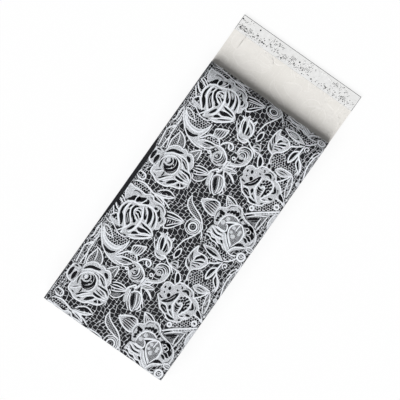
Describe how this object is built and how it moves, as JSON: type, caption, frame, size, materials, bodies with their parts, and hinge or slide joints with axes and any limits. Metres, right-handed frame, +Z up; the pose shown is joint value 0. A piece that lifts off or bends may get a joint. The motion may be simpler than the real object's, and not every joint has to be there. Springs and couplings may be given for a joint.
{
  "type": "wedding card box",
  "caption": "Slim rigid box for long wedding cards, wrapped in lace-patterned paper, with a rolled nose over its end mouth and a creased magnetic lid.",
  "frame": {"origin": "middle of the back face of the body, on the plane that the box rests on", "axes": "+Z up out of the front face, +Y along the body towards the mouth and the lid, +X across"},
  "size_m": [0.107, 0.2597, 0.025],
  "materials": {
    "grey_board": "matt grey board",
    "lace_wrap": "matt charcoal paper printed with white lace",
    "lining_paper": "pearly ivory paper",
    "keeper_steel": "bright zinc",
    "magnet_plating": "nickel plate"
  },
  "bodies": {
    "box": {"back_board": "grey_board", "front_board": "grey_board", "nose_board": "grey_board", "left_side_board": "grey_board", "right_side_board": "grey_board", "foot_board": "grey_board", "front_wrap": "lace_wrap", "left_side_wrap": "lace_wrap", "right_side_wrap": "lace_wrap", "foot_wrap": "lace_wrap", "back_wrap": "lace_wrap", "back_liner": "lining_paper", "front_liner": "lining_paper", "left_side_liner": "lining_paper", "right_side_liner": "lining_paper", "foot_liner": "lining_paper", "nose_keepers": "keeper_steel", "spine_crease_wrap": "lace_wrap", "spine_crease_liner": "lining_paper"},
    "spine_panel": {"spine_board": "grey_board", "spine_wrap": "lace_wrap", "spine_liner": "lining_paper", "flap_crease_wrap": "lace_wrap", "flap_crease_liner": "lining_paper"},
    "flap_panel": {"flap_board": "grey_board", "flap_wrap": "lace_wrap", "flap_liner": "lining_paper", "flap_magnets": "magnet_plating"}
  },
  "joints": [
    {"name": "spine_crease", "type": "hinge", "parent": "box", "child": "spine_panel", "pos_m": [0, 0.111, 0], "axis": [1, 0, 0], "range_deg": [0, 90], "deforming": ["spine_crease_wrap", "spine_crease_liner"]},
    {"name": "flap_crease", "type": "hinge", "parent": "spine_panel", "child": "flap_panel", "pos_m": [0, 0.13219, 0], "axis": [1, 0, 0], "range_deg": [0, 70], "deforming": ["flap_crease_wrap", "flap_crease_liner"]}
  ]
}
